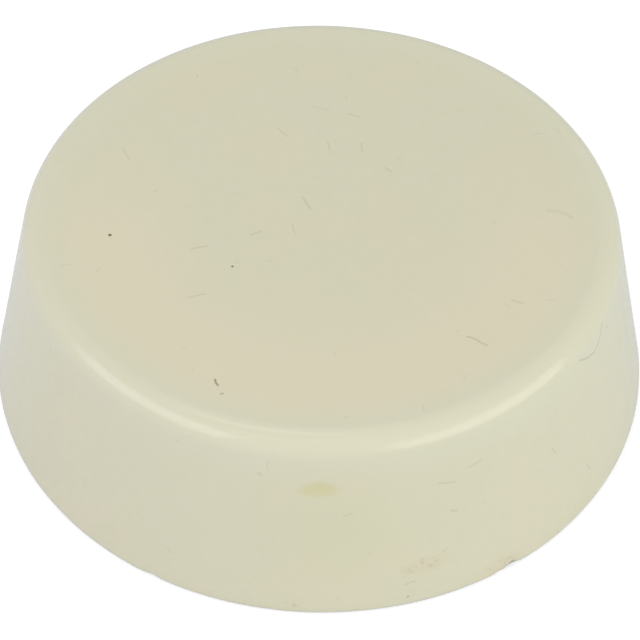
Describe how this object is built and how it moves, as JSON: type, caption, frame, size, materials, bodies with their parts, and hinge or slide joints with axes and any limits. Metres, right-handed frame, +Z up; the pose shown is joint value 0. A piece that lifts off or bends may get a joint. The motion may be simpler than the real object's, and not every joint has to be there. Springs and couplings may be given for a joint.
{
  "type": "dealer button",
  "caption": "Blank cream plastic dealer button: a round marker puck with a flat face, rounded rim and flared wall, a closed base and a steel weight inside.",
  "frame": {"origin": "centre of the foot, on the plane of the table", "axes": "+Z up along the axis of revolution, from the foot to the face; +Y away from the viewer of the picture, +X to their right"},
  "size_m": [0.0508, 0.0508, 0.0157],
  "materials": {
    "shell_cream": "polished, lightly scuffed",
    "base_cream": "satin, as moulded",
    "plated_steel": "zinc plated",
    "tape_foam": "matte foam"
  },
  "bodies": {
    "root": {"top_shell": "shell_cream", "base_plate": "base_cream", "weight_disc": "plated_steel", "tape_disc": "tape_foam"}
  },
  "joints": []
}
